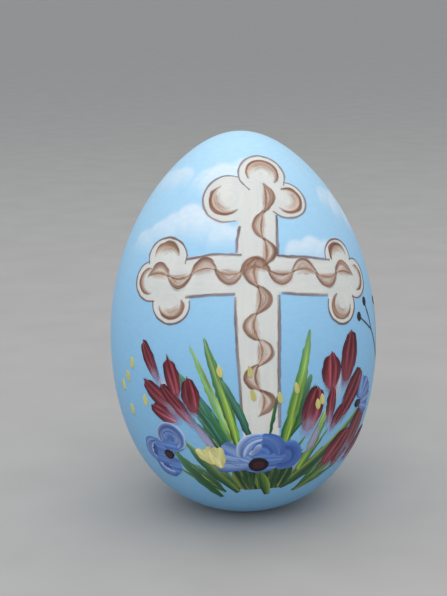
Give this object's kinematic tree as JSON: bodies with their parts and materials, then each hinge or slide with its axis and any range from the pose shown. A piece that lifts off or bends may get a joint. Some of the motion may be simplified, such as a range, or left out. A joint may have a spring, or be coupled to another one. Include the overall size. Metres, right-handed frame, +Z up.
{
  "type": "painted wooden egg",
  "caption": "Turned wooden egg on a small flat foot, sky-blue ground coat, hand-painted with a cream budded cross, grass blades and meadow flowers.",
  "frame": {"origin": "centre of the flat foot, on the surface the egg stands on", "axes": "+Z up the axis the egg was turned on, towards the narrow crown; -Y is the side with the cross"},
  "size_m": [0.0698, 0.0705, 0.1],
  "materials": {
    "wood": "bare turned lime wood, fine sanded",
    "sky_paint": "satin acrylic ground coat, sky blue with soft white clouds",
    "cream_paint": "satin acrylic, brushed cream white",
    "umber_paint": "thin satin acrylic line, grey brown",
    "sienna_paint": "satin acrylic, burnt sienna washed from dark to light",
    "grass_paint": "satin acrylic, streaked yellow green",
    "forest_paint": "satin acrylic, dark green",
    "crimson_paint": "satin acrylic, dark red loaded with pale pink",
    "blue_paint": "satin acrylic, mid blue streaked with white",
    "ink_paint": "satin acrylic, near black",
    "yellow_paint": "satin acrylic, pale yellow"
  },
  "bodies": {
    "root": {"anemone_centre": "blue_paint", "anemone_left": "blue_paint", "anemone_right": "blue_paint", "back_anemone": "blue_paint", "back_eye": "ink_paint", "back_grass": "grass_paint", "back_lupin": "crimson_paint", "berry_twig": "ink_paint", "blade_cross_left": "grass_paint", "blade_cross_right": "grass_paint", "blade_left_pale": "grass_paint", "blade_left_tall": "grass_paint", "blade_right_low": "grass_paint", "blade_right_tall": "grass_paint", "blossom_left": "yellow_paint", "blossom_low": "yellow_paint", "cross_field": "cream_paint", "egg_core": "wood", "eye_centre": "ink_paint", "eye_left": "ink_paint", "eye_right": "ink_paint", "leaf_left_teal": "forest_paint", "leaf_low_left": "forest_paint", "leaf_low_middle": "forest_paint", "leaf_right_dark": "forest_paint", "leaf_right_olive": "grass_paint", "left_lower_bud_crescent": "sienna_paint", "left_upper_bud_crescent": "sienna_paint", "lupin_left": "crimson_paint", "lupin_low_right": "crimson_paint", "lupin_right": "crimson_paint", "outline_left_base": "umber_paint", "outline_left_buds": "umber_paint", "outline_left_top": "umber_paint", "outline_lower_left": "umber_paint", "outline_lower_right": "umber_paint", "outline_right_base": "umber_paint", "outline_right_buds": "umber_paint", "outline_right_top": "umber_paint", "outline_top_buds": "umber_paint", "outline_upper_left": "umber_paint", "outline_upper_right": "umber_paint", "right_lower_bud_crescent": "sienna_paint", "right_upper_bud_crescent": "sienna_paint", "scroll_left": "sienna_paint", "scroll_right": "sienna_paint", "scroll_shaft": "sienna_paint", "sky_coat": "sky_paint", "top_bud_crescent": "sienna_paint", "top_left_bud_crescent": "sienna_paint", "top_right_bud_crescent": "sienna_paint", "tuft_centre": "forest_paint", "yellow_dab_1": "yellow_paint", "yellow_dab_2": "yellow_paint", "yellow_dab_3": "yellow_paint", "yellow_dab_4": "yellow_paint", "yellow_dab_5": "yellow_paint", "yellow_dab_6": "yellow_paint"}
  },
  "joints": []
}
